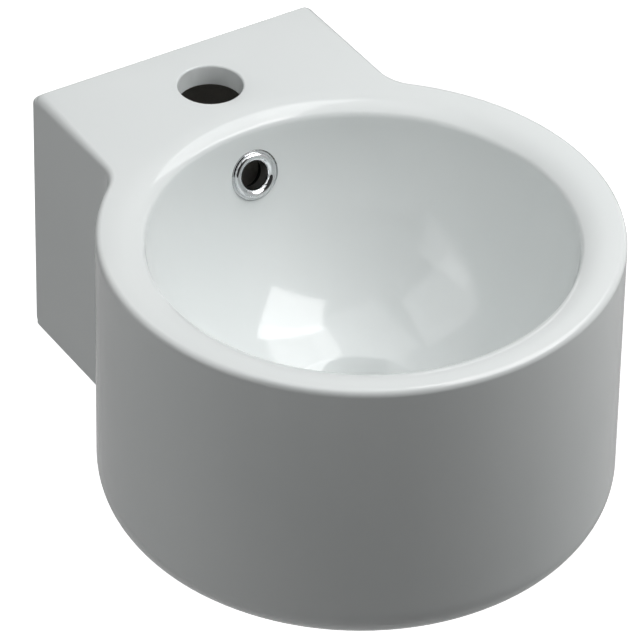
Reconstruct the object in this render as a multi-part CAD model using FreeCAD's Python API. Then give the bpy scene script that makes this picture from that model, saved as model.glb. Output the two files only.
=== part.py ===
import FreeCAD, Part
import math
import os

Vector = FreeCAD.Vector

# Wall hung basin: a round tub carried by a tap block against the wall.
# Sizes are in millimetres. The wall is the plane Y = 0 and the tub hangs towards -Y.
# The origin lies on the wall, midway between the two fixing studs, with Z up.

# ---------------------------------------------------------------- ceramic casting
tub_r = 137.0
tub_height = 167.0
tub_to_wall = 192.0
tub_foot_round = 25.0
tub_foot_lip = 8.0
skirt_wall = 9.0
rim_thickness = 14.0
rim_outer_round = 6.0
rim_inner_round = 4.5
rim_dish_start_r = 128.5
rim_dish_drop = 5.6
block_width = 172.0
block_height = 151.0
block_wall = 10.0
block_back_round = 2.0
block_inner_round = 8.0
ledge_thickness = 12.0
neck_round = 24.0

# The bowl is a shallow ellipse swept round its own axis, a little forward of the tub's.
bowl_forward = 2.0
bowl_curve_centre_r = 10.0
bowl_curve_rise = 8.0
bowl_half_width = 103.0
bowl_half_depth = 127.0
bowl_wall = 8.0

# Drain well, with the boss that the waste clamps
well_edge_r = 42.0
well_floor_r = 33.0
well_sink = 9.3
well_edge_round = 5.0
drain_hole_r = 23.0
boss_r = 36.0
boss_flare_r = 50.0
boss_flare_height = 18.0
boss_height = 28.0

# Overflow hole and the channel cast on the back of the bowl
overflow_drop = 31.0
overflow_tilt = 18.0
overflow_hole_r = 12.0
overflow_seat_sink = 0.4
channel_width = 26.0
channel_depth = 7.0
channel_wall = 6.0
channel_top_drop = 15.0
channel_bend_rise = 20.0
port_height = 11.0
port_bend_r = 39.0

# Tap hole and wall fixing holes
tap_hole_r = 17.5
tap_to_wall = 40.5
tap_edge_round = 1.2
fixing_drop = 90.0
fixing_spacing = 90.0
fixing_hole_r = 7.0

# ---------------------------------------------------------------- wall fixings
stud_r = 4.0
stud_metric_r = 3.6
stud_neck_r = 3.2
stud_neck_length = 8.0
stud_shank_lead = 0.3
stud_in_wall = 47.0
stud_in_block = 34.0
stud_tip_length = 7.0
stud_tip_r = 1.2
stud_end_chamfer = 0.8
bush_r = 6.8
bush_length = 9.5
bush_flange_r = 11.0
bush_flange_thickness = 2.0
washer_r = 10.0
washer_thickness = 1.6
nut_across_flats = 13.0
nut_height = 6.5
nut_corner_cut = 0.7

# ---------------------------------------------------------------- overflow insert
insert_flange_r = 13.8
insert_flange_thickness = 1.0
insert_bezel_r = 12.5
insert_bezel_crown_r = 10.4
insert_bezel_height = 3.2
insert_bezel_outer_bulge = 0.25
insert_bezel_inner_bulge = 0.9
insert_mouth_r = 7.7
insert_tube_r = 9.2
insert_tube_length = 6.0
core_r = 11.6
core_length = 11.5
core_barb_r = 11.9
core_barb_height = 1.4
core_barb_pitch = 3.0
core_barb_count = 3

# ---------------------------------------------------------------- click waste
gasket_r = 28.5
gasket_thickness = 1.5
waste_flange_r = 29.5
waste_flange_thickness = 2.1
waste_flange_round = 1.0
waste_seat_r = 22.0
waste_cone_depth = 5.6
waste_bore_r = 17.5
waste_thread_r = 20.95
waste_neck_r = 20.0
waste_neck_length = 3.0
waste_tail_length = 25.0
waste_slot_width = 10.0
hub_r = 9.0
hub_height = 5.0
hub_drop = 7.6
hub_arm_width = 2.5
lower_seal_r = 30.0
lower_seal_thickness = 6.0
lower_seal_nose = 3.0
slip_washer_r = 29.0
slip_washer_thickness = 2.0
backnut_r = 26.0
backnut_height = 8.0
backnut_lug_count = 6
backnut_lug_r = 29.0
backnut_lug_width = 8.0

# Push plug and its click cartridge
cap_r = 20.0
cap_edge = 2.2
cap_crown = 2.8
cap_drop = 2.6
plug_seal_thickness = 2.5
plug_seal_inner_r = 13.0
plug_rod_r = 3.0
plug_rod_length = 17.0
plug_foot_r = 4.2
plug_foot_height = 3.0
plug_foot_teeth = 6
tooth_depth = 0.8
tooth_width = 1.6
cartridge_r = 6.0
cartridge_wall = 1.4
cartridge_collar_r = 8.0
cartridge_collar_height = 1.5
cartridge_roof = 2.5
rotor_height = 5.0
rotor_bore_r = 1.8
spring_wire_r = 0.4
spring_turns = 7.0
spring_rest_length = 15.5
end_cap_height = 3.0
end_cap_pin_r = 1.4
end_cap_pin_length = 9.0

# ---------------------------------------------------------------- clearances
seat_gap = 0.3
cone_gap = 0.4
running_gap = 0.3
thread_gap = 0.15
bore_gap = 0.2
cut_margin = 1.0

# ---------------------------------------------------------------- places
top_z = fixing_drop
foot_z = top_z - tub_height
block_foot_z = top_z - block_height
tub_y = -tub_to_wall
bowl_y = tub_y - bowl_forward
bowl_curve_z = top_z + bowl_curve_rise
well_edge_run = (well_edge_r - bowl_curve_centre_r) / bowl_half_width
well_edge_z = bowl_curve_z - bowl_half_depth * math.sqrt(1 - well_edge_run ** 2)
well_z = well_edge_z - well_sink
boss_z = well_z - boss_height
channel_bend_z = well_z + channel_bend_rise


# ---------------------------------------------------------------- drawing helpers
def point(r, z):
    """Point of a profile, drawn in the XZ plane as radius and height."""
    return Vector(r, 0, z)


def profile(*items):
    """Closed face from points joined by straight lines, with arcs and curves between them."""
    edges = []
    last = None
    first = None
    for item in items:
        if isinstance(item, tuple):
            item = point(*item)
        if isinstance(item, Vector):
            start, end = item, item
            new_edge = None
        else:
            start, end = item.firstVertex().Point, item.lastVertex().Point
            new_edge = item
        if new_edge is not None and last is not None:
            if last.distanceToPoint(end) < last.distanceToPoint(start):
                start, end = end, start
        if last is not None and last.distanceToPoint(start) > 1e-6:
            edges.append(Part.makeLine(last, start))
        if new_edge is not None:
            edges.append(new_edge)
        if first is None:
            first = start
        last = end
    if last.distanceToPoint(first) > 1e-6:
        edges.append(Part.makeLine(last, first))
    return Part.Face(Part.Wire(Part.__sortEdges__(edges)))


def arc(start, middle, end):
    return Part.Arc(point(*start), point(*middle), point(*end)).toShape()


def corner_arc(centre, radius, from_angle, to_angle):
    """Arc of a circle about a profile point, angles in degrees from the outward direction."""
    def at(angle):
        turn = math.radians(angle)
        return (centre[0] + radius * math.cos(turn), centre[1] + radius * math.sin(turn))
    return arc(at(from_angle), at((from_angle + to_angle) / 2), at(to_angle))


def revolved(face, y=0.0):
    solid = face.revolve(Vector(0, 0, 0), Vector(0, 0, 1), 360)
    solid.translate(Vector(0, y, 0))
    return solid


def tube(outer_r, inner_r, low_z, high_z, y=0.0):
    return revolved(profile((inner_r, low_z), (outer_r, low_z), (outer_r, high_z), (inner_r, high_z)), y)


def rod(r, low_z, high_z, y=0.0):
    return Part.makeCylinder(r, high_z - low_z, Vector(0, y, low_z))


def centred_box(width, depth, low_z, high_z, y=0.0):
    return Part.makeBox(width, depth, high_z - low_z, Vector(-width / 2, y - depth / 2, low_z))


def save(node, shape):
    """Write one node, after checking that its solids are closed."""
    solids = shape.Solids
    assert solids and all(solid.isValid() and solid.Volume > 0 for solid in solids), node
    Part.makeCompound(solids).exportStep(os.path.join("parts", node + ".step"))


# ---------------------------------------------------------------- the bowl's curve
def bowl_radius(z, grow=0.0):
    """Radius of the bowl's curve at a height, grown outwards by a wall or a channel."""
    drop = (bowl_curve_z - z) / (bowl_half_depth + grow)
    return bowl_curve_centre_r + (bowl_half_width + grow) * math.sqrt(1 - drop * drop)


def bowl_height(r, grow=0.0):
    reach = (r - bowl_curve_centre_r) / (bowl_half_width + grow)
    return bowl_curve_z - (bowl_half_depth + grow) * math.sqrt(1 - reach * reach)


def bowl_edge(low_z, high_z, grow=0.0):
    """Stretch of the bowl's curve between two heights."""
    width = bowl_half_width + grow
    depth = bowl_half_depth + grow
    centre = point(bowl_curve_centre_r, bowl_curve_z)
    ellipse = Part.Ellipse(centre - Vector(0, 0, depth), centre + Vector(width, 0, 0), centre)
    low_turn = math.acos((bowl_curve_z - low_z) / depth)
    high_turn = math.acos((bowl_curve_z - high_z) / depth)
    return Part.Arc(ellipse, low_turn, high_turn).toShape()


# ---------------------------------------------------------------- ceramic casting
def casting_outside():
    """Round tub and square block joined by concave necks, all outer edges rounded."""
    tub = rod(tub_r, foot_z, top_z, tub_y)
    foot_edge = [e for e in tub.Edges if e.BoundBox.ZMax < foot_z + cut_margin]
    tub = tub.makeFillet(tub_foot_round, foot_edge)
    block = Part.makeBox(block_width, tub_to_wall, block_height,
                         Vector(-block_width / 2, tub_y, block_foot_z))
    body = tub.fuse(block).removeSplitter()

    half = block_width / 2
    neck_y = tub_y + math.sqrt(tub_r ** 2 - half ** 2)
    necks = [e for e in body.Edges
             if abs(abs(e.BoundBox.Center.x) - half) < cut_margin
             and abs(e.BoundBox.Center.y - neck_y) < 2 * cut_margin
             and e.BoundBox.ZLength > cut_margin]
    body = body.makeFillet(neck_round, necks)

    top_edges = [e for e in body.Edges
                 if e.BoundBox.ZMin > top_z - 1e-3 and e.BoundBox.YMin < -cut_margin]
    body = body.makeFillet(rim_outer_round, top_edges)
    wall_edges = [e for e in body.Edges if e.BoundBox.YMin > -1e-3]
    return body.makeFillet(block_back_round, wall_edges)


def underside_hollow():
    """Everything that is open from below: inside the skirt and inside the block."""
    skirt_inner_r = tub_r - skirt_wall
    inner_round = tub_foot_round - skirt_wall
    corner = (skirt_inner_r - inner_round, foot_z + tub_foot_round)
    lip_r = tub_r - tub_foot_round - tub_foot_lip
    skirt = revolved(profile((0, foot_z - cut_margin), (lip_r, foot_z - cut_margin),
                             (lip_r, foot_z + skirt_wall),
                             corner_arc(corner, inner_round, -90, 0),
                             (skirt_inner_r, top_z - rim_thickness), (0, top_z - rim_thickness)), tub_y)

    width = block_width - 2 * block_wall
    front_y = tub_y + tub_r / 2
    low_z = block_foot_z - cut_margin
    block = Part.makeBox(width, -block_wall - front_y, top_z - ledge_thickness - low_z,
                         Vector(-width / 2, front_y, low_z))
    rounded = [e for e in block.Edges
               if e.BoundBox.YMin > -block_wall - cut_margin
               and not e.BoundBox.ZMax < low_z + cut_margin]
    block = block.makeFillet(block_inner_round, rounded)
    tub_foot = rod(tub_r, low_z - cut_margin, foot_z + tub_foot_round, tub_y)
    return skirt.fuse(block.cut(tub_foot))


def bowl_outside():
    """The bowl's outer skin, kept clear of the hollow, with its drain boss."""
    centre_r = boss_r / 2
    low_z = bowl_height(centre_r, bowl_wall)
    high_z = top_z - rim_outer_round
    bowl = revolved(profile((0, low_z), bowl_edge(low_z, high_z, bowl_wall), (0, high_z)), bowl_y)
    flare_z = bowl_height(boss_flare_r, bowl_wall)
    boss = revolved(profile((0, boss_z), (boss_r, boss_z), (boss_r, flare_z - boss_flare_height),
                            (boss_flare_r, flare_z), (0, flare_z)), bowl_y)
    return bowl.fuse(boss)


def along_channel(face, width):
    """Push a profile out to a width, and stand it on the bowl's back centre line."""
    solid = face.extrude(Vector(0, width, 0))
    solid.translate(Vector(0, -width / 2, 0))
    solid.rotate(Vector(0, 0, 0), Vector(0, 0, 1), 90)
    solid.translate(Vector(0, bowl_y, 0))
    return solid


def channel_casing():
    """Closed rib that carries the overflow channel down the back of the bowl."""
    grow = bowl_wall + channel_depth + channel_wall
    high_z = top_z - ledge_thickness / 2
    face = profile((drain_hole_r, boss_z), (port_bend_r, boss_z),
                   bowl_edge(channel_bend_z, high_z, grow),
                   bowl_edge(channel_bend_z, high_z, bowl_wall / 2), (drain_hole_r, well_z))
    return along_channel(face, channel_width + 2 * channel_wall)


def channel_hollow():
    high_z = top_z - channel_top_drop
    floor_z = boss_z + channel_wall
    inside_r = drain_hole_r - 2 * cut_margin
    face = profile((inside_r, floor_z), (port_bend_r, floor_z),
                   bowl_edge(channel_bend_z, high_z, bowl_wall + channel_depth),
                   bowl_edge(channel_bend_z, high_z, bowl_wall),
                   (port_bend_r, floor_z + port_height), (inside_r, floor_z + port_height))
    return along_channel(face, channel_width)


def bowl_hollow():
    """The bowl's inside in one sweep: drain well, bowl and the shallow dish of the rim."""
    high_z = top_z + bowl_curve_rise
    mouth_z = top_z - rim_dish_drop
    mouth_r = bowl_radius(mouth_z)
    run = rim_dish_start_r - mouth_r
    dish_curve = (run ** 2 + rim_dish_drop ** 2) / (2 * rim_dish_drop)
    dish_turn = math.degrees(math.asin(run / dish_curve))
    dish = corner_arc((rim_dish_start_r, top_z - dish_curve), dish_curve, 90 + dish_turn, 90)
    bowl = bowl_edge(well_edge_z, mouth_z)
    return revolved(profile((0, well_z), (well_floor_r, well_z), bowl, dish,
                            (rim_dish_start_r, high_z), (0, high_z)), bowl_y)


def on_overflow_axis(shape):
    """Turn a piece drawn about Z so that it faces into the bowl at the overflow hole."""
    shape.rotate(Vector(0, 0, 0), Vector(1, 0, 0), 90 - overflow_tilt)
    wall_z = top_z - overflow_drop
    shape.translate(Vector(0, bowl_y + bowl_radius(wall_z), wall_z))
    return shape


def basin_body():
    body = casting_outside()
    hollow = underside_hollow().cut(bowl_outside()).cut(channel_casing())
    body = body.cut(hollow)
    body = body.cut(bowl_hollow())
    body = body.cut(channel_hollow())
    body = body.cut(rod(drain_hole_r, boss_z - cut_margin, well_z + cut_margin, bowl_y))

    hole_depth = bowl_wall + channel_depth - cut_margin
    hole = rod(overflow_hole_r, -hole_depth, bowl_wall)
    seat = rod(insert_flange_r + seat_gap, -overflow_seat_sink, bowl_wall)
    body = body.cut(on_overflow_axis(hole.fuse(seat)))

    body = body.cut(rod(tap_hole_r, top_z - 2 * ledge_thickness, top_z + cut_margin, -tap_to_wall))
    for side in (-1, 1):
        hole = Part.makeCylinder(fixing_hole_r, 2 * block_wall,
                                 Vector(side * fixing_spacing / 2, -1.5 * block_wall, 0), Vector(0, 1, 0))
        body = body.cut(hole)

    # Soften the edges that the glaze rounds off.
    def circles_at(r, y, low_z, high_z):
        return [e for e in body.Edges
                if isinstance(e.Curve, Part.Circle) and abs(e.Curve.Radius - r) < cut_margin
                and abs(e.Curve.Center.y - y) < 1e-3 and low_z < e.BoundBox.ZMin
                and e.BoundBox.ZMax < high_z]

    mouth_z = top_z - rim_dish_drop
    rim_edges = circles_at(bowl_radius(mouth_z), bowl_y, mouth_z - cut_margin, top_z)
    body = body.makeFillet(rim_inner_round, rim_edges)
    well_edges = circles_at(well_edge_r, bowl_y, well_z, top_z)
    body = body.makeFillet(well_edge_round, well_edges)
    tap_edges = circles_at(tap_hole_r, -tap_to_wall, top_z - cut_margin, top_z + cut_margin)
    return body.makeFillet(tap_edge_round, tap_edges)


# ---------------------------------------------------------------- overflow insert
def overflow_ring():
    """Plated ring: thin flange on the wall, rounded bezel and a short inner tube."""
    crown = (insert_bezel_crown_r, insert_bezel_height)
    half_flange = insert_flange_thickness / 2
    edge_centre = (insert_flange_r - half_flange, half_flange)
    face = profile((insert_tube_r, -insert_tube_length), (insert_tube_r, 0),
                   corner_arc(edge_centre, half_flange, -90, 90),
                   arc((insert_bezel_r, insert_flange_thickness),
                       (insert_bezel_r - insert_bezel_outer_bulge, 0.72 * insert_bezel_height), crown),
                   arc(crown, (insert_mouth_r + insert_bezel_inner_bulge, 0.7 * insert_bezel_height),
                       (insert_mouth_r, half_flange)),
                   (insert_mouth_r, -insert_tube_length))
    ring = revolved(face)
    ring.translate(Vector(0, 0, -overflow_seat_sink))
    return on_overflow_axis(ring)


def overflow_core():
    """Dark plastic sleeve that grips the hole with ring barbs and holds the ring's tube."""
    inner_r = insert_tube_r + bore_gap
    core = tube(core_r, inner_r, -core_length, -seat_gap)
    for index in range(core_barb_count):
        low_z = -core_length + cut_margin + index * core_barb_pitch
        barb = revolved(profile((inner_r, low_z), (core_r, low_z),
                                (core_barb_r, low_z + core_barb_height),
                                (inner_r, low_z + core_barb_height)))
        core = core.fuse(barb)
    core.translate(Vector(0, 0, -overflow_seat_sink))
    return on_overflow_axis(core.removeSplitter())


# ---------------------------------------------------------------- wall fixings
def pair(make_piece):
    """One piece at each stud, drawn about Z with +Z towards the wall."""
    pieces = []
    for side in (-1, 1):
        piece = make_piece()
        piece.rotate(Vector(0, 0, 0), Vector(1, 0, 0), -90)
        piece.translate(Vector(side * fixing_spacing / 2, 0, 0))
        pieces.append(piece)
    return Part.makeCompound(pieces)


bush_face = -block_wall - bush_flange_thickness
nut_face = bush_face - washer_thickness


def hanger_stud():
    """Stud with a wood screw shank in the wall, a bare neck and a metric end inside the block."""
    neck_start = -stud_shank_lead - stud_neck_length
    return revolved(profile((0, -stud_in_block), (stud_metric_r - stud_end_chamfer, -stud_in_block),
                            (stud_metric_r, -stud_in_block + stud_end_chamfer),
                            (stud_metric_r, neck_start), (stud_neck_r, neck_start),
                            (stud_neck_r, -stud_shank_lead), (stud_r, -stud_shank_lead),
                            (stud_r, stud_in_wall - stud_tip_length),
                            (stud_tip_r, stud_in_wall), (0, stud_in_wall)))


def fixing_bush():
    """Plastic bush that keeps the stud off the ceramic."""
    inner_r = stud_r + bore_gap
    return revolved(profile((inner_r, bush_face), (bush_flange_r, bush_face),
                            (bush_flange_r, -block_wall), (bush_r, -block_wall),
                            (bush_r, -block_wall + bush_length), (inner_r, -block_wall + bush_length)))


def fixing_washer():
    return tube(washer_r, stud_r + bore_gap, nut_face, bush_face)


def fixing_nut():
    """Hexagon nut with its corners turned off."""
    corner_r = nut_across_flats / math.sqrt(3)
    corners = [Vector(corner_r * math.cos(math.radians(60 * i)), corner_r * math.sin(math.radians(60 * i)),
                      nut_face - nut_height) for i in range(7)]
    nut = Part.Face(Part.makePolygon(corners)).extrude(Vector(0, 0, nut_height))
    low_z = nut_face - nut_height
    turned = revolved(profile((0, low_z), (corner_r - nut_corner_cut, low_z),
                              (corner_r, low_z + nut_corner_cut), (corner_r, nut_face - nut_corner_cut),
                              (corner_r - nut_corner_cut, nut_face), (0, nut_face)))
    return nut.common(turned).cut(rod(stud_metric_r + thread_gap, low_z, nut_face))


# ---------------------------------------------------------------- click waste
gasket_z = well_z + gasket_thickness
flange_z = gasket_z + waste_flange_thickness
hub_z = flange_z - hub_drop
backnut_top_z = boss_z - lower_seal_thickness - slip_washer_thickness
backnut_foot_z = backnut_top_z - backnut_height
neck_z = backnut_foot_z - waste_neck_length
tail_z = neck_z - waste_tail_length
cone_slope = (waste_seat_r - waste_bore_r) / waste_cone_depth


def waste_gasket():
    """Flat rubber ring under the flange."""
    return tube(gasket_r, waste_thread_r + seat_gap, well_z, gasket_z, bowl_y)


def waste_body():
    """Turned brass body: dished flange, seat cone, threaded tube and the hub's four arms."""
    round_centre = (waste_flange_r - waste_flange_round, flange_z - waste_flange_round)
    face = profile((waste_thread_r, gasket_z), (waste_flange_r, gasket_z),
                   corner_arc(round_centre, waste_flange_round, 0, 90),
                   (waste_seat_r, flange_z), (waste_bore_r, flange_z - waste_cone_depth),
                   (waste_bore_r, tail_z), (waste_thread_r, tail_z),
                   (waste_thread_r, neck_z), (waste_neck_r, neck_z),
                   (waste_neck_r, neck_z + waste_neck_length),
                   (waste_thread_r, neck_z + waste_neck_length))
    body = revolved(face, bowl_y)
    slot_low = boss_z + channel_wall
    for turn in (45, 135):
        slot = centred_box(waste_slot_width, 3 * waste_thread_r, slot_low, slot_low + port_height)
        slot.rotate(Vector(0, 0, 0), Vector(0, 0, 1), turn)
        slot.translate(Vector(0, bowl_y, 0))
        body = body.cut(slot)
    hub_low = hub_z - hub_height
    reach = 2 * waste_bore_r + cut_margin
    arms = centred_box(reach, hub_arm_width, hub_low, hub_z, bowl_y)
    arms = arms.fuse(centred_box(hub_arm_width, reach, hub_low, hub_z, bowl_y))
    hub = arms.fuse(rod(hub_r, hub_low, hub_z, bowl_y))
    hub = hub.cut(rod(cartridge_r + thread_gap, hub_low - cut_margin, hub_z + cut_margin, bowl_y))
    return body.fuse(hub).removeSplitter()


def waste_lower_seal():
    """Rubber ring under the boss, with a taper nose in the drain hole."""
    inner_r = waste_thread_r + seat_gap
    low_z = boss_z - lower_seal_thickness
    return revolved(profile((inner_r, low_z), (lower_seal_r, low_z), (lower_seal_r, boss_z),
                            (drain_hole_r - seat_gap, boss_z),
                            (inner_r + seat_gap, boss_z + lower_seal_nose),
                            (inner_r, boss_z + lower_seal_nose)), bowl_y)


def waste_slip_washer():
    return tube(slip_washer_r, waste_thread_r + seat_gap, backnut_top_z,
                boss_z - lower_seal_thickness, bowl_y)


def waste_backnut():
    """Round nut with six lugs for a wrench."""
    nut = rod(backnut_r, backnut_foot_z, backnut_top_z)
    for index in range(backnut_lug_count):
        lug = centred_box(2 * backnut_lug_r, backnut_lug_width, backnut_foot_z, backnut_top_z)
        lug.rotate(Vector(0, 0, 0), Vector(0, 0, 1), 360 / backnut_lug_count * index)
        nut = nut.fuse(lug)
    nut = nut.common(rod(backnut_lug_r, backnut_foot_z, backnut_top_z))
    nut = nut.cut(rod(waste_thread_r + thread_gap, backnut_foot_z - cut_margin, backnut_top_z + cut_margin))
    nut.translate(Vector(0, bowl_y, 0))
    return nut.removeSplitter()


# ---------------------------------------------------------------- push plug, closed at rest
cap_under_z = flange_z - cap_drop
plug_seal_z = cap_under_z - plug_seal_thickness
rod_foot_z = cap_under_z - plug_rod_length
foot_low_z = rod_foot_z - plug_foot_height
rotor_top_z = foot_low_z - running_gap
rotor_low_z = rotor_top_z - rotor_height
collar_z = hub_z + cartridge_collar_height
cartridge_inner_r = cartridge_r - cartridge_wall
spring_top_z = rotor_low_z - running_gap
spring_low_z = spring_top_z - spring_rest_length
end_cap_top_z = spring_low_z - running_gap
cartridge_low_z = end_cap_top_z - end_cap_height


def cone_radius(z):
    """Radius of the seat cone at a height."""
    return waste_seat_r + (z - flange_z) * cone_slope


def plug_cap():
    """Plated cap, slightly domed, that is pressed with a finger."""
    edge_z = cap_under_z + cap_edge
    low_r = min(cap_r, cone_radius(cap_under_z) - cone_gap)
    high_r = min(cap_r, cone_radius(edge_z) - cone_gap)
    dome_r = (high_r ** 2 + cap_crown ** 2) / (2 * cap_crown)
    dome_turn = math.degrees(math.asin(high_r / dome_r))
    dome = corner_arc((0, edge_z + cap_crown - dome_r), dome_r, 90 - dome_turn, 90)
    return revolved(profile((0, cap_under_z), (low_r, cap_under_z), dome), bowl_y)


def plug_seal():
    """Tapered rubber ring under the cap that meets the seat cone."""
    low_r = cone_radius(plug_seal_z) - cone_gap
    high_r = cone_radius(cap_under_z) - cone_gap
    return revolved(profile((plug_seal_inner_r, plug_seal_z), (low_r, plug_seal_z),
                            (high_r, cap_under_z), (plug_seal_inner_r, cap_under_z)), bowl_y)


def tooth_ring(r, height, low_z, teeth, inner_r=0.0):
    """Disc with square teeth on its rim, as on the parts of a click cartridge."""
    disc = rod(r - tooth_depth, low_z, low_z + height)
    for index in range(teeth // 2):
        tooth = centred_box(2 * r, tooth_width, low_z, low_z + height)
        tooth.rotate(Vector(0, 0, 0), Vector(0, 0, 1), 360 / teeth * index)
        disc = disc.fuse(tooth)
    disc = disc.common(rod(r, low_z, low_z + height))
    if inner_r:
        disc = disc.cut(rod(inner_r, low_z - cut_margin, low_z + height))
    disc.translate(Vector(0, bowl_y, 0))
    return disc.removeSplitter()


def plug_stem():
    """Brass rod screwed into the cap, with a toothed foot inside the cartridge."""
    stem = rod(plug_rod_r, rod_foot_z, cap_under_z, bowl_y)
    return stem.fuse(tooth_ring(plug_foot_r, plug_foot_height, foot_low_z, plug_foot_teeth)).removeSplitter()


def click_rotor():
    """Toothed rotor that turns one step at each click; the spring sits in its bore."""
    rotor = tooth_ring(plug_foot_r, rotor_height, rotor_low_z, plug_foot_teeth)
    return rotor.cut(rod(rotor_bore_r, rotor_low_z, rotor_low_z + rotor_height / 2, bowl_y))


def click_cartridge():
    """Plastic tube that screws into the hub, with a collar on top of it."""
    roof_z = collar_z - cartridge_roof
    rod_hole_r = plug_rod_r + running_gap
    return revolved(profile((rod_hole_r, roof_z), (rod_hole_r, collar_z), (cartridge_collar_r, collar_z),
                            (cartridge_collar_r, hub_z), (cartridge_r, hub_z),
                            (cartridge_r, cartridge_low_z), (cartridge_inner_r, cartridge_low_z),
                            (cartridge_inner_r, roof_z)), bowl_y)


def click_end_cap():
    """Cap that closes the cartridge, with a pin that guides the spring."""
    cap = rod(cartridge_inner_r - thread_gap, cartridge_low_z, end_cap_top_z, bowl_y)
    return cap.fuse(rod(end_cap_pin_r, end_cap_top_z, end_cap_top_z + end_cap_pin_length, bowl_y))


def click_spring():
    """Compression spring between the end cap and the rotor."""
    coil_r = cartridge_inner_r - running_gap - 2 * spring_wire_r
    pitch = (spring_rest_length - 2 * spring_wire_r) / spring_turns
    helix = Part.makeHelix(pitch, pitch * spring_turns, coil_r)
    wire_section = Part.Wire(Part.makeCircle(spring_wire_r, Vector(coil_r, 0, 0), Vector(0, 1, 0)))
    spring = Part.Wire(helix.Edges).makePipeShell([wire_section], True, True)
    spring.translate(Vector(0, bowl_y, spring_low_z + spring_wire_r))
    return spring


# ---------------------------------------------------------------- write every node
nodes = {
    "basin_body": basin_body,
    "overflow_ring": overflow_ring,
    "overflow_core": overflow_core,
    "hanger_studs": lambda: pair(hanger_stud),
    "fixing_bushes": lambda: pair(fixing_bush),
    "fixing_washers": lambda: pair(fixing_washer),
    "fixing_nuts": lambda: pair(fixing_nut),
    "waste_gasket": waste_gasket,
    "waste_body": waste_body,
    "waste_lower_seal": waste_lower_seal,
    "waste_slip_washer": waste_slip_washer,
    "waste_backnut": waste_backnut,
    "plug_cap": plug_cap,
    "plug_seal": plug_seal,
    "plug_stem": plug_stem,
    "click_cartridge": click_cartridge,
    "click_rotor": click_rotor,
    "click_spring": click_spring,
    "click_end_cap": click_end_cap,
}

os.makedirs("parts", exist_ok=True)
for node, make in nodes.items():
    save(node, make())
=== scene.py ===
import math
import bmesh
import bpy
from mathutils import Matrix, Vector


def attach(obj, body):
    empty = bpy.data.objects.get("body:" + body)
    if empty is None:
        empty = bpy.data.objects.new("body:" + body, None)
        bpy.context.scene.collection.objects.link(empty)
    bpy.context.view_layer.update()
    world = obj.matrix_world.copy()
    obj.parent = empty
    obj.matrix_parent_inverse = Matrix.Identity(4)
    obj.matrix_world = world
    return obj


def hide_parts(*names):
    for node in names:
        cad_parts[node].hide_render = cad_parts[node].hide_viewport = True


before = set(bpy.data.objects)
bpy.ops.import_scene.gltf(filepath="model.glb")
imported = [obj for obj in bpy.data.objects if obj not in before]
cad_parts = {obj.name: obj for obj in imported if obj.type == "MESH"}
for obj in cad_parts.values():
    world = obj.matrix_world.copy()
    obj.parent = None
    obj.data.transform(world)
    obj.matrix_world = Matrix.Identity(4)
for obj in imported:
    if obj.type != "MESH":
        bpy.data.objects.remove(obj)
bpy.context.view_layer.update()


# ------------------------------------------------------------------ basin casting
# One glazed vitreous china casting: a round tub and the square block that carries the tap.
# Slip cast in a plaster mould, sprayed with white glaze and fired once. The wall face and the
# foot are wiped clean of glaze, and the hollows under the bowl and in the block stay bare clay,
# which is coloured much darker there as painted shade.

crease = math.radians(32)


def soft_shaded_copy(node_name, body, material):
    """Merged copy of a CAD node, smooth across its tangent faces and creased at its edges."""
    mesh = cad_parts[node_name].data.copy()
    mesh.materials.clear()
    mesh.materials.append(material)
    edit = bmesh.new()
    edit.from_mesh(mesh)
    bmesh.ops.remove_doubles(edit, verts=edit.verts, dist=0.000002)
    for face in edit.faces:
        face.smooth = True
        face.material_index = 0
    for edge in edit.edges:
        edge.smooth = len(edge.link_faces) == 2 and edge.calc_face_angle(0) < crease
    edit.to_mesh(mesh)
    edit.free()
    piece = bpy.data.objects.new(node_name + "_piece", mesh)
    bpy.context.scene.collection.objects.link(piece)
    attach(piece, body)
    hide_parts(node_name)
    return piece


def finish(name):
    """Material with a Principled BSDF, and a maker of further nodes in it."""
    material = bpy.data.materials.new(name)
    material.use_nodes = True
    tree = material.node_tree

    def node(kind, settings=None, **sockets):
        made = tree.nodes.new(kind)
        for key, value in (settings or {}).items():
            setattr(made, key, value)
        for key, value in sockets.items():
            made.inputs[key.replace("_", " ")].default_value = value
        return made

    return material, tree.nodes["Principled BSDF"], node, tree.links


glaze, shader, node, links = finish("white_glaze")
place = node("ShaderNodeTexCoord")
drift = node("ShaderNodeTexNoise", Scale=9.0, Detail=2.0)
links.new(place.outputs["Object"], drift.inputs["Vector"])
glaze_tone = node("ShaderNodeValToRGB")
glaze_tone.color_ramp.elements[0].position = 0.35
glaze_tone.color_ramp.elements[0].color = (0.757, 0.788, 0.785, 1)
glaze_tone.color_ramp.elements[1].position = 0.65
glaze_tone.color_ramp.elements[1].color = (0.78, 0.808, 0.804, 1)
links.new(drift.outputs["Fac"], glaze_tone.inputs["Fac"])
# Bare clay where the spray did not reach, and where a sponge took the glaze off the wall face
# along a line that wavers, and off the tub's foot. The clay in the hollows is painted much darker,
# as painted shade.
hollow = node("ShaderNodeAttribute", {"attribute_name": "bare_clay"})
apart = node("ShaderNodeSeparateXYZ")
links.new(place.outputs["Object"], apart.inputs["Vector"])
waver = node("ShaderNodeTexNoise", Scale=60.0, Detail=1.0)
links.new(place.outputs["Object"], waver.inputs["Vector"])
sponge_line = node("ShaderNodeMath", {"operation": "MULTIPLY_ADD"})
links.new(waver.outputs["Fac"], sponge_line.inputs[0])
sponge_line.inputs[1].default_value = 0.0012
links.new(apart.outputs["Y"], sponge_line.inputs[2])
wiped = node("ShaderNodeMapRange", From_Min=-0.0009, From_Max=-0.0006)
links.new(sponge_line.outputs["Value"], wiped.inputs["Value"])
foot = node("ShaderNodeMapRange", From_Min=-0.0765, From_Max=-0.0768)
links.new(apart.outputs["Z"], foot.inputs["Value"])
wiped_or_foot = node("ShaderNodeMath", {"operation": "MAXIMUM"})
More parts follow.
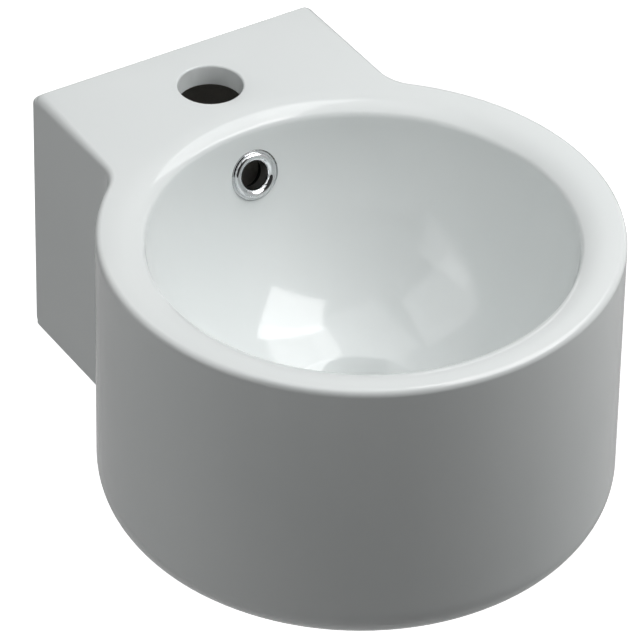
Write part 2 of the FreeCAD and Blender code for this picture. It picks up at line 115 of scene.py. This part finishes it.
links.new(wiped.outputs["Result"], wiped_or_foot.inputs[0])
links.new(foot.outputs["Result"], wiped_or_foot.inputs[1])
bare = node("ShaderNodeMath", {"operation": "MAXIMUM"})
links.new(hollow.outputs["Fac"], bare.inputs[0])
links.new(wiped_or_foot.outputs["Value"], bare.inputs[1])
grit = node("ShaderNodeTexNoise", Scale=700.0, Detail=3.0)
links.new(place.outputs["Object"], grit.inputs["Vector"])
wiped_clay = node("ShaderNodeValToRGB")
wiped_clay.color_ramp.elements[0].color = (0.58, 0.565, 0.53, 1)
wiped_clay.color_ramp.elements[1].color = (0.72, 0.705, 0.67, 1)
links.new(grit.outputs["Fac"], wiped_clay.inputs["Fac"])
# Painted shade: the hollows' clay is coloured far darker than the wiped clay, for the shade inside
# them.
shaded_hollow_clay = node("ShaderNodeValToRGB")
shaded_hollow_clay.color_ramp.elements[0].color = (0.20, 0.19, 0.175, 1)
shaded_hollow_clay.color_ramp.elements[1].color = (0.30, 0.285, 0.26, 1)
links.new(grit.outputs["Fac"], shaded_hollow_clay.inputs["Fac"])
# Mix of the wiped clay and the hollows' clay darkened as painted shade.
clay_with_shade = node("ShaderNodeMix", {"data_type": "RGBA"})
links.new(hollow.outputs["Fac"], clay_with_shade.inputs["Factor"])
links.new(wiped_clay.outputs["Color"], clay_with_shade.inputs["A"])
links.new(shaded_hollow_clay.outputs["Color"], clay_with_shade.inputs["B"])
coat_or_clay = node("ShaderNodeMix", {"data_type": "RGBA"})
links.new(bare.outputs["Value"], coat_or_clay.inputs["Factor"])
links.new(glaze_tone.outputs["Color"], coat_or_clay.inputs["A"])
links.new(clay_with_shade.outputs["Result"], coat_or_clay.inputs["B"])
links.new(coat_or_clay.outputs["Result"], shader.inputs["Base Color"])
glaze_gloss = node("ShaderNodeMapRange", From_Min=0.3, From_Max=0.7, To_Min=0.07, To_Max=0.12)
links.new(drift.outputs["Fac"], glaze_gloss.inputs["Value"])
gloss = node("ShaderNodeMix")
links.new(bare.outputs["Value"], gloss.inputs["Factor"])
links.new(glaze_gloss.outputs["Result"], gloss.inputs["A"])
gloss.inputs["B"].default_value = 0.75
links.new(gloss.outputs["Result"], shader.inputs["Roughness"])
orange_peel = node("ShaderNodeTexNoise", Scale=75.0, Detail=0.0)
links.new(place.outputs["Object"], orange_peel.inputs["Vector"])
peel_bump = node("ShaderNodeBump", Strength=1.0, Distance=0.00001)
links.new(orange_peel.outputs["Fac"], peel_bump.inputs["Height"])
links.new(peel_bump.outputs["Normal"], shader.inputs["Normal"])

basin = soft_shaded_copy("basin_body", "basin", glaze)


# Sizes of the casting, as the solid has them. The bowl is half an ellipse drawn a little way off
# its axis, above a shallow well for the waste.
tub_axis_y, tub_r, inside_skirt_r = -0.192, 0.137, 0.1292
bowl_axis_y, bowl_centre_r, bowl_centre_z = -0.194, 0.010, 0.098
bowl_half_width, bowl_half_depth = 0.103, 0.127
well_edge_r, well_floor_z, least_wall = 0.043, -0.033, 0.004
under_rim_z, under_deck_z = 0.0775, 0.0786
block_half_width, inside_block_half_width = 0.086, 0.0768
block_front_y, block_back_y, foot_z, rim_z = -0.074, -0.0025, -0.061, 0.090
neck_axis_x, neck_axis_y, neck_r = 0.110, -0.07444, 0.024
neck_end_slope = 1.0689


def unglazed_and_shaded(at):
    """True for a face in the casting's hollows, which the glaze spray does not reach and whose
    clay is painted dark as shade.
    """
    from_bowl_axis = math.hypot(at.x, at.y - bowl_axis_y)
    across = min(max((from_bowl_axis - bowl_centre_r) / bowl_half_width, 0), 1)
    bowl_z = bowl_centre_z - bowl_half_depth * math.sqrt(1 - across * across)
    if from_bowl_axis <= well_edge_r:
        bowl_z = well_floor_z
    below_bowl = at.z < min(bowl_z - least_wall, under_rim_z)
    in_tub = math.hypot(at.x, at.y - tub_axis_y) < inside_skirt_r and below_bowl
    in_block = abs(at.x) < inside_block_half_width and block_front_y < at.y < block_back_y
    return in_tub or in_block and at.z < under_deck_z


def rim_edge(at):
    """Distance in from the casting's outer edge, and the way out to it, seen from above."""
    side = math.copysign(1, at.x)
    from_tub = Vector((at.x, at.y - tub_axis_y))
    from_neck = Vector((abs(at.x) - neck_axis_x, at.y - neck_axis_y))
    if at.y > neck_axis_y:
        return block_half_width - abs(at.x), Vector((side, 0))
    if from_neck.x < 0 and from_neck.y > from_neck.x * neck_end_slope:
        way_out = -Vector((from_neck.x * side, from_neck.y)).normalized()
        return from_neck.length - neck_r, way_out
    return tub_r - from_tub.length, from_tub.normalized()


# The glazed edge of the rim is crisper than the round of the plain solid.
rim_reach = 0.0061
edge_share = 0.62
for vertex in basin.data.vertices:
    gap, outward = rim_edge(vertex.co)
    if vertex.co.z > rim_z - rim_reach and gap < rim_reach and vertex.co.y < block_back_y:
        vertex.co.xy += outward * gap * (1 - edge_share)
        vertex.co.z = rim_z - (rim_z - vertex.co.z) * edge_share

# The block's top edge and foot edge at the wall are rounded too: the faces there are cut in a fan
# about each round's axis, and the square edge is drawn in to the arc.
wall_round = 0.0045
speck = 0.000001
to_wall = Vector((0, 1, 0))


def reach(vertex, axis, outward):
    """How far a point lies beyond a round's axis, outward and towards the wall."""
    return Vector(((vertex.co - axis).dot(outward), (vertex.co - axis).dot(to_wall)))


edit = bmesh.new()
edit.from_mesh(basin.data)
for edge_z, outward in ((rim_z, Vector((0, 0, 1))), (foot_z, Vector((0, 0, -1)))):
    axis = Vector((0, 0, edge_z)) - wall_round * (outward + to_wall)
    fan = [outward, to_wall]
    for turn in map(math.radians, range(15, 90, 15)):
        fan.append(math.cos(turn) * to_wall - math.sin(turn) * outward)
    for count, across in enumerate(fan):
        # The first two cuts part the corner from the rest, and the others stay inside it.
        least_reach = -1.0 if count < 2 else -2 * speck
        parts = {}
        for face in edit.faces:
            reaches = [reach(vertex, axis, outward) for vertex in face.verts]
            farthest = [max(values) for values in zip(*reaches)]
            if min(farthest) > speck and min(map(min, reaches)) > least_reach:
                parts.update(dict.fromkeys([face, *face.edges, *face.verts]))
        bmesh.ops.bisect_plane(edit, geom=list(parts), plane_co=axis, plane_no=across,
                               dist=0.0000001)
    for vertex in edit.verts:
        beyond = reach(vertex, axis, outward)
        if min(beyond) > speck / 2:
            drawn_in = (max(beyond) / beyond.length - 1) * beyond
            vertex.co += drawn_in.x * outward + drawn_in.y * to_wall
for edge in edit.edges:
    if max(vertex.co.y for vertex in edge.verts) > -0.001 - wall_round:
        edge.smooth = edge.calc_face_angle(0) < crease
edit.to_mesh(basin.data)
edit.free()

# Mask of the hollows' faces: bare clay, and the painted shade of their darker colour.
bare_clay = basin.data.attributes.new("bare_clay", "FLOAT", "FACE")
bare_clay.data.foreach_set(
    "value", [float(unglazed_and_shaded(face.center)) for face in basin.data.polygons])


# ------------------------------------------------------------------ overflow ring and core
# A chrome plated brass ring seated in the hole high on the bowl's back, with a broad round bezel.
# A dark moulded sleeve with barbs is pushed through it and holds it in the ceramic.

def effect(name, inputs, outputs):
    """Shader node group for an effect that several finishes share, and its tools."""
    tree = bpy.data.node_groups.new(name, "ShaderNodeTree")
    for label, value in inputs.items():
        socket = tree.interface.new_socket(label, in_out="INPUT", socket_type="NodeSocketFloat")
        socket.default_value = value
    for label, kind in outputs.items():
        tree.interface.new_socket(label, in_out="OUTPUT", socket_type=kind)
    return tree, tree.nodes.new("NodeGroupInput"), tree.nodes.new("NodeGroupOutput")


# Handling and machining marks of a metal surface: a smeared gloss and a hair-fine relief.
rubbed_metal, given, result = effect(
    "rubbed_metal", {"Smear Size": 60.0, "Smooth": 0.08, "Smeared": 0.2},
    {"Roughness": "NodeSocketFloat", "Shade": "NodeSocketFloat", "Height": "NodeSocketFloat"})
spot = rubbed_metal.nodes.new("ShaderNodeTexCoord")
smear = rubbed_metal.nodes.new("ShaderNodeTexNoise")
smear.inputs["Detail"].default_value = 4.0
rubbed_metal.links.new(spot.outputs["Object"], smear.inputs["Vector"])
rubbed_metal.links.new(given.outputs["Smear Size"], smear.inputs["Scale"])
smear_level = rubbed_metal.nodes.new("ShaderNodeMapRange")
smear_level.inputs["From Min"].default_value = 0.35
smear_level.inputs["From Max"].default_value = 0.7
rubbed_metal.links.new(smear.outputs["Fac"], smear_level.inputs["Value"])
rubbed_metal.links.new(given.outputs["Smooth"], smear_level.inputs["To Min"])
rubbed_metal.links.new(given.outputs["Smeared"], smear_level.inputs["To Max"])
rubbed_metal.links.new(smear_level.outputs["Result"], result.inputs["Roughness"])
rubbed_metal.links.new(smear.outputs["Fac"], result.inputs["Shade"])
hairline = rubbed_metal.nodes.new("ShaderNodeMapping")
hairline.inputs["Scale"].default_value = (1.0, 1.0, 14.0)
rubbed_metal.links.new(spot.outputs["Object"], hairline.inputs["Vector"])
scratch = rubbed_metal.nodes.new("ShaderNodeTexNoise")
scratch.inputs["Scale"].default_value = 500.0
rubbed_metal.links.new(hairline.outputs["Vector"], scratch.inputs["Vector"])
rubbed_metal.links.new(scratch.outputs["Fac"], result.inputs["Height"])

# Skin of a moulded plastic or rubber piece: a faint cloud of tone and a fine grain.
moulded_skin, given, result = effect(
    "moulded_skin", {"Cloud Size": 90.0, "Grain Size": 1500.0},
    {"Cloud": "NodeSocketFloat", "Grain": "NodeSocketFloat"})
spot = moulded_skin.nodes.new("ShaderNodeTexCoord")
for size, channel in (("Cloud Size", "Cloud"), ("Grain Size", "Grain")):
    texture = moulded_skin.nodes.new("ShaderNodeTexNoise")
    texture.inputs["Detail"].default_value = 3.0
    moulded_skin.links.new(spot.outputs["Object"], texture.inputs["Vector"])
    moulded_skin.links.new(given.outputs[size], texture.inputs["Scale"])
    moulded_skin.links.new(texture.outputs["Fac"], result.inputs[channel])


def metal(name, dull, clean, smooth, smeared, smear_size=60.0, relief=0.000002):
    """Metal whose tone and gloss drift with its handling marks."""
    material, shader, node, links = finish(name)
    marks = node("ShaderNodeGroup", {"node_tree": rubbed_metal})
    marks.inputs["Smear Size"].default_value = smear_size
    marks.inputs["Smooth"].default_value = smooth
    marks.inputs["Smeared"].default_value = smeared
    tone = node("ShaderNodeValToRGB")
    tone.color_ramp.elements[0].position = 0.3
    tone.color_ramp.elements[0].color = (*dull, 1)
    tone.color_ramp.elements[1].position = 0.6
    tone.color_ramp.elements[1].color = (*clean, 1)
    links.new(marks.outputs["Shade"], tone.inputs["Fac"])
    links.new(tone.outputs["Color"], shader.inputs["Base Color"])
    links.new(marks.outputs["Roughness"], shader.inputs["Roughness"])
    bump = node("ShaderNodeBump", Strength=1.0, Distance=relief)
    links.new(marks.outputs["Height"], bump.inputs["Height"])
    links.new(bump.outputs["Normal"], shader.inputs["Normal"])
    shader.inputs["Metallic"].default_value = 1.0
    return material


def moulding(name, dark, light, smooth, rough, relief=0.00001):
    """Moulded plastic or rubber with a cloudy tone and a fine grain."""
    material, shader, node, links = finish(name)
    skin = node("ShaderNodeGroup", {"node_tree": moulded_skin})
    tone = node("ShaderNodeValToRGB")
    tone.color_ramp.elements[0].position = 0.35
    tone.color_ramp.elements[0].color = (*dark, 1)
    tone.color_ramp.elements[1].position = 0.65
    tone.color_ramp.elements[1].color = (*light, 1)
    links.new(skin.outputs["Cloud"], tone.inputs["Fac"])
    links.new(tone.outputs["Color"], shader.inputs["Base Color"])
    gloss = node("ShaderNodeMapRange", From_Min=0.3, From_Max=0.7, To_Min=smooth, To_Max=rough)
    links.new(skin.outputs["Grain"], gloss.inputs["Value"])
    links.new(gloss.outputs["Result"], shader.inputs["Roughness"])
    bump = node("ShaderNodeBump", Strength=1.0, Distance=relief)
    links.new(skin.outputs["Grain"], bump.inputs["Height"])
    links.new(bump.outputs["Normal"], shader.inputs["Normal"])
    return material


chrome_plate = metal("chrome_plate", (0.66, 0.67, 0.69), (0.80, 0.81, 0.82), 0.03, 0.07)
dark_plastic = moulding("dark_plastic", (0.008, 0.008, 0.009), (0.02, 0.02, 0.021), 0.16, 0.26)
soft_shaded_copy("overflow_ring", "basin", chrome_plate)
soft_shaded_copy("overflow_core", "basin", dark_plastic)


# ------------------------------------------------------------------ wall fixings
# Two zinc plated hanger studs: a wood screw end for the wall and a metric end for the nut.
# Inside the block each carries a white plastic bush, a washer and a hexagon nut on the ceramic.

threading = bpy.data.node_groups.new("rolled_thread", "GeometryNodeTree")
threading.interface.new_socket("Geometry", in_out="INPUT", socket_type="NodeSocketGeometry")
thread_inputs = {}
for label, kind in (("Root Radius", "Float"), ("Pitch", "Float"), ("Turns", "Float"),
                    ("Depth", "Float"), ("Foot", "Vector"), ("Turned", "Vector"),
                    ("Finish", "Material")):
    socket = threading.interface.new_socket(
        label, in_out="INPUT", socket_type="NodeSocket" + kind)
    thread_inputs[label] = socket.identifier
threading.interface.new_socket("Geometry", in_out="OUTPUT", socket_type="NodeSocketGeometry")
given = threading.nodes.new("NodeGroupInput")
result = threading.nodes.new("NodeGroupOutput")
rise = threading.nodes.new("ShaderNodeMath")
rise.operation = "MULTIPLY"
threading.links.new(given.outputs["Pitch"], rise.inputs[0])
threading.links.new(given.outputs["Turns"], rise.inputs[1])
helix = threading.nodes.new("GeometryNodeCurveSpiral")
helix.inputs["Resolution"].default_value = 40
threading.links.new(given.outputs["Turns"], helix.inputs["Rotations"])
threading.links.new(given.outputs["Root Radius"], helix.inputs["Start Radius"])
threading.links.new(given.outputs["Root Radius"], helix.inputs["End Radius"])
threading.links.new(rise.outputs["Value"], helix.inputs["Height"])
upright = threading.nodes.new("GeometryNodeSetCurveNormal")
upright.mode = "Z_UP"
threading.links.new(helix.outputs["Curve"], upright.inputs["Curve"])
# A four-cornered ridge, squeezed along the stud to the sixty degree flanks of a rolled thread.
ridge = threading.nodes.new("GeometryNodeCurvePrimitiveCircle")
ridge.inputs["Resolution"].default_value = 4
threading.links.new(given.outputs["Depth"], ridge.inputs["Radius"])
flanks = threading.nodes.new("GeometryNodeTransform")
flanks.inputs["Scale"].default_value = (1.0, 0.577, 1.0)
threading.links.new(ridge.outputs["Curve"], flanks.inputs["Geometry"])
rolled = threading.nodes.new("GeometryNodeCurveToMesh")
rolled.inputs["Fill Caps"].default_value = True
threading.links.new(upright.outputs["Curve"], rolled.inputs["Curve"])
threading.links.new(flanks.outputs["Geometry"], rolled.inputs["Profile Curve"])
set_down = threading.nodes.new("GeometryNodeTransform")
threading.links.new(rolled.outputs["Mesh"], set_down.inputs["Geometry"])
threading.links.new(given.outputs["Foot"], set_down.inputs["Translation"])
threading.links.new(given.outputs["Turned"], set_down.inputs["Rotation"])
real = threading.nodes.new("GeometryNodeRealizeInstances")
threading.links.new(set_down.outputs["Geometry"], real.inputs["Geometry"])
plated = threading.nodes.new("GeometryNodeSetMaterial")
threading.links.new(real.outputs["Geometry"], plated.inputs["Geometry"])
threading.links.new(given.outputs["Finish"], plated.inputs["Material"])
threading.links.new(plated.outputs["Geometry"], result.inputs["Geometry"])


def thread(name, body, slot, material, **sizes):
    """Plain mesh of one rolled thread, made by the Geometry Nodes tree."""
    blank = bpy.data.objects.new(name + "_blank", bpy.data.meshes.new(name + "_blank"))
    bpy.context.scene.collection.objects.link(blank)
    roller = blank.modifiers.new("rolled", "NODES")
    roller.node_group = threading
    for label, value in sizes.items():
        roller[thread_inputs[label.replace("_", " ")]] = value
    roller[thread_inputs["Finish"]] = material
    depsgraph = bpy.context.evaluated_depsgraph_get()
    mesh = bpy.data.meshes.new_from_object(blank.evaluated_get(depsgraph))
    blank.modifiers.remove(roller)
    bpy.data.objects.remove(blank)
    piece = bpy.data.objects.new(name, mesh)
    bpy.context.scene.collection.objects.link(piece)
    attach(piece, body)
    return piece


zinc_plate = metal("zinc_plate", (0.50, 0.51, 0.53), (0.66, 0.67, 0.68), 0.28, 0.45, 140.0,
                   0.000006)
white_plastic = moulding("white_plastic", (0.70, 0.70, 0.68), (0.78, 0.78, 0.76), 0.35, 0.5)
soft_shaded_copy("hanger_studs", "basin", zinc_plate)
soft_shaded_copy("fixing_bushes", "basin", white_plastic)
soft_shaded_copy("fixing_washers", "basin", zinc_plate)
soft_shaded_copy("fixing_nuts", "basin", zinc_plate)
into_wall = (-math.pi / 2, 0.0, 0.0)
for side, x in (("left", -0.045), ("right", 0.045)):
    thread("metric_thread_" + side, "basin", "zinc_plate", zinc_plate, Root_Radius=0.0036,
           Pitch=0.00125, Turns=18.0, Depth=0.00035, Foot=(x, -0.0322, 0.0), Turned=into_wall)
    thread("wood_thread_" + side, "basin", "zinc_plate", zinc_plate, Root_Radius=0.004,
           Pitch=0.0032, Turns=11.0, Depth=0.0006, Foot=(x, 0.0035, 0.0), Turned=into_wall)


# ------------------------------------------------------------------ click waste
# A chrome plated brass waste through the drain hole: flange and rubber ring in the bowl, and below
# the boss a tapered rubber ring, a plastic slip washer and a six-lugged nut on its thread.

black_rubber = moulding("black_rubber", (0.012, 0.012, 0.012), (0.03, 0.03, 0.029), 0.55, 0.75,
                        0.00002)
soft_shaded_copy("waste_gasket", "basin", black_rubber)
soft_shaded_copy("waste_body", "basin", chrome_plate)
soft_shaded_copy("waste_lower_seal", "basin", black_rubber)
soft_shaded_copy("waste_slip_washer", "basin", white_plastic)
soft_shaded_copy("waste_backnut", "basin", chrome_plate)
thread("waste_thread", "basin", "chrome_plate", chrome_plate, Root_Radius=0.02095,
       Pitch=0.0023, Turns=11.0, Depth=0.0005, Foot=(0.0, bowl_axis_y, -0.1028),
       Turned=(0.0, 0.0, 0.0))


# ------------------------------------------------------------------ push plug and click cartridge
# A domed chrome cap on a tapered rubber ring and a brass rod, which slides in the waste's hub.
# The plastic cartridge screwed into the hub holds a toothed rotor, a spring and an end cap.

brass_rod = metal("brass_rod", (0.52, 0.40, 0.20), (0.70, 0.56, 0.30), 0.22, 0.35, 200.0, 0.000004)
spring_steel = metal("spring_steel", (0.44, 0.44, 0.45), (0.60, 0.60, 0.61), 0.18, 0.3, 400.0,
                     0.000004)
soft_shaded_copy("plug_cap", "plug", chrome_plate)
soft_shaded_copy("plug_seal", "plug", black_rubber)
soft_shaded_copy("plug_stem", "plug", brass_rod)
soft_shaded_copy("click_cartridge", "basin", white_plastic)
soft_shaded_copy("click_rotor", "rotor", white_plastic)
soft_shaded_copy("click_end_cap", "basin", white_plastic)
for finish_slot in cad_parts["click_spring"].material_slots:
    finish_slot.material = spring_steel


# ------------------------------------------------------------------ studio
# Plain pale floor far below the hung basin, large soft lamps round it, and a cloth panel whose
# reflection makes the bright patch in the bowl. The camera stands at the photograph's angle.

world = bpy.data.worlds.new("studio")
bpy.context.scene.world = world
world.use_nodes = True
surround = world.node_tree.nodes["Background"]
surround.inputs["Color"].default_value = (1, 1, 1, 1)
# Mirrored, the room is a paler grey with its dark side where the photographer stands.
gaze = world.node_tree.nodes.new("ShaderNodeTexCoord")
toward_dark_side = world.node_tree.nodes.new("ShaderNodeVectorMath")
toward_dark_side.operation = "DOT_PRODUCT"
toward_dark_side.inputs[1].default_value = (-0.4253, -0.6748, 0.6031)
world.node_tree.links.new(gaze.outputs["Generated"], toward_dark_side.inputs[0])
mirrored = world.node_tree.nodes.new("ShaderNodeMapRange")
mirrored.interpolation_type = "SMOOTHSTEP"
for socket, value in (("From Min", 0.55), ("From Max", 0.9), ("To Min", 0.5), ("To Max", 0.03)):
    mirrored.inputs[socket].default_value = value
world.node_tree.links.new(toward_dark_side.outputs["Value"], mirrored.inputs["Value"])
seen = world.node_tree.nodes.new("ShaderNodeLightPath")
seen_or_mirrored = world.node_tree.nodes.new("ShaderNodeMath")
seen_or_mirrored.operation = "MULTIPLY_ADD"
world.node_tree.links.new(seen.outputs["Is Glossy Ray"], seen_or_mirrored.inputs[0])
world.node_tree.links.new(mirrored.outputs["Result"], seen_or_mirrored.inputs[1])
world.node_tree.links.new(seen.outputs["Is Camera Ray"], seen_or_mirrored.inputs[2])
seen_at_all = world.node_tree.nodes.new("ShaderNodeMath")
seen_at_all.operation = "MAXIMUM"
world.node_tree.links.new(seen_or_mirrored.outputs["Value"], seen_at_all.inputs[0])
world.node_tree.links.new(seen.outputs["Is Transmission Ray"], seen_at_all.inputs[1])
world.node_tree.links.new(seen_at_all.outputs["Value"], surround.inputs["Strength"])

floor_mesh = bpy.data.meshes.new("floor")
floor_z, floor_reach = -0.8, 12
floor_corners = [(x * floor_reach, y * floor_reach, floor_z)
                 for x, y in ((-1, -1), (1, -1), (1, 1), (-1, 1))]
floor_mesh.from_pydata(floor_corners, [], [(0, 1, 2, 3)])
floor = bpy.data.objects.new("floor", floor_mesh)
bpy.context.scene.collection.objects.link(floor)
pale_floor, shader, node, links = finish("pale_floor")
shader.inputs["Base Color"].default_value = (0.8, 0.8, 0.8, 1)
shader.inputs["Roughness"].default_value = 1.0
shader.inputs["Specular IOR Level"].default_value = 0.0
shader.inputs["Emission Color"].default_value = (1, 1, 1, 1)
place = node("ShaderNodeTexCoord")
from_basin = node("ShaderNodeVectorMath", {"operation": "LENGTH"})
links.new(place.outputs["Object"], from_basin.inputs[0])
brighter_away = node("ShaderNodeMapRange", From_Min=0.8, From_Max=1.8, To_Min=0.75, To_Max=1.0)
links.new(from_basin.outputs["Value"], brighter_away.inputs["Value"])
seen = node("ShaderNodeLightPath")
seen_or_mirrored = node("ShaderNodeMath", {"operation": "MULTIPLY_ADD"})
links.new(seen.outputs["Is Glossy Ray"], seen_or_mirrored.inputs[0])
seen_or_mirrored.inputs[1].default_value = 0.1
links.new(seen.outputs["Is Camera Ray"], seen_or_mirrored.inputs[2])
seen_at_all = node("ShaderNodeMath", {"operation": "MAXIMUM"})
links.new(seen_or_mirrored.outputs["Value"], seen_at_all.inputs[0])
links.new(seen.outputs["Is Transmission Ray"], seen_at_all.inputs[1])
glow = node("ShaderNodeMath", {"operation": "MULTIPLY"})
links.new(brighter_away.outputs["Result"], glow.inputs[0])
links.new(seen_at_all.outputs["Value"], glow.inputs[1])
links.new(glow.outputs["Value"], shader.inputs["Emission Strength"])
# Seen from below the floor is clear, so that the underside of the basin can be looked at.
clear = node("ShaderNodeBsdfTransparent")
underneath = node("ShaderNodeNewGeometry")
one_sided = node("ShaderNodeMixShader")
links.new(underneath.outputs["Backfacing"], one_sided.inputs["Fac"])
links.new(shader.outputs["BSDF"], one_sided.inputs[1])
links.new(clear.outputs["BSDF"], one_sided.inputs[2])
floor_output = pale_floor.node_tree.nodes["Material Output"]
links.new(one_sided.outputs["Shader"], floor_output.inputs["Surface"])
floor_mesh.materials.append(pale_floor)


lamps_look_at = Vector((0, -0.19, 0.05))


def lamp(name, place, width, height, watts):
    """Soft rectangular lamp turned to the basin."""
    light = bpy.data.lights.new(name, "AREA")
    light.shape = "RECTANGLE"
    light.size = width
    light.size_y = height
    light.energy = watts
    holder = bpy.data.objects.new(name, light)
    bpy.context.scene.collection.objects.link(holder)
    holder.location = place
    holder.rotation_euler = (lamps_look_at - Vector(place)).to_track_quat("-Z", "Y").to_euler()


lamp("top_lamp", (0.0, -0.19, 1.15), 0.9, 0.9, 2.5)
lamp("right_lamp", (0.6, -0.19, 1.089), 0.8, 0.8, 5.3)
lamp("low_right_lamp", (1.584, -0.19, -0.173), 1.8, 1.2, 4.6)
lamp("back_right_lamp", (1.136, 0.946, 1.965), 2.0, 2.0, 2.5)
lamp("left_lamp", (-2.378, -0.19, 0.822), 1.6, 1.2, 7.0)
lamp("near_left_lamp", (-0.86, 0.08, 0.85), 0.8, 0.8, 2.3)
lamp("back_left_lamp", (-1.681, 1.491, 0.822), 1.6, 1.2, 0.7)
lamp("low_back_lamp", (0.7, 1.9, -0.15), 1.0, 0.8, 4.5)

panel_middle = Vector((0.653, -0.996, 1.518))
panel_side = Vector((-0.594, -0.388, 1.285)) / 2
panel_top = Vector((0.312, 0.785, -0.094)) / 2
panel_mesh = bpy.data.meshes.new("cloth_panel")
panel_corners = [panel_middle - panel_side - panel_top, panel_middle + panel_side - panel_top,
                 panel_middle + panel_side + panel_top, panel_middle - panel_side + panel_top]
panel_mesh.from_pydata(panel_corners, [], [(0, 1, 2, 3)])
panel = bpy.data.objects.new("cloth_panel", panel_mesh)
bpy.context.scene.collection.objects.link(panel)
panel.visible_camera = False
panel_cloth, shader, node, links = finish("panel_cloth")
shader.inputs["Base Color"].default_value = (0, 0, 0, 1)
shader.inputs["Specular IOR Level"].default_value = 0.0
shader.inputs["Emission Color"].default_value = (1, 1, 1, 1)
shader.inputs["Emission Strength"].default_value = 5.2
panel_mesh.materials.append(panel_cloth)

# The camera stands well off, to the left of the basin's front, and looks down on it.
azimuth = math.radians(-32.223)
elevation = math.radians(37.092)
roll = math.radians(1.069)
distance = 3.111619
target = Vector((-0.016103, -0.179552, 0.030))
back = Vector((math.sin(azimuth) * math.cos(elevation),
               -math.cos(azimuth) * math.cos(elevation), math.sin(elevation)))
level_right = Vector((math.cos(azimuth), math.sin(azimuth), 0))
level_up = back.cross(level_right)
right = math.cos(roll) * level_right + math.sin(roll) * level_up
up = math.cos(roll) * level_up - math.sin(roll) * level_right
stand = target + distance * back
camera_data = bpy.data.cameras.new("camera")
camera_data.lens = 336.58
camera_data.clip_end = 50
camera = bpy.data.objects.new("camera", camera_data)
bpy.context.scene.collection.objects.link(camera)
camera.matrix_world = Matrix((
    (right.x, up.x, back.x, stand.x), (right.y, up.y, back.y, stand.y),
    (right.z, up.z, back.z, stand.z), (0, 0, 0, 1)))
bpy.context.scene.camera = camera
bpy.context.scene.view_settings.view_transform = "Standard"
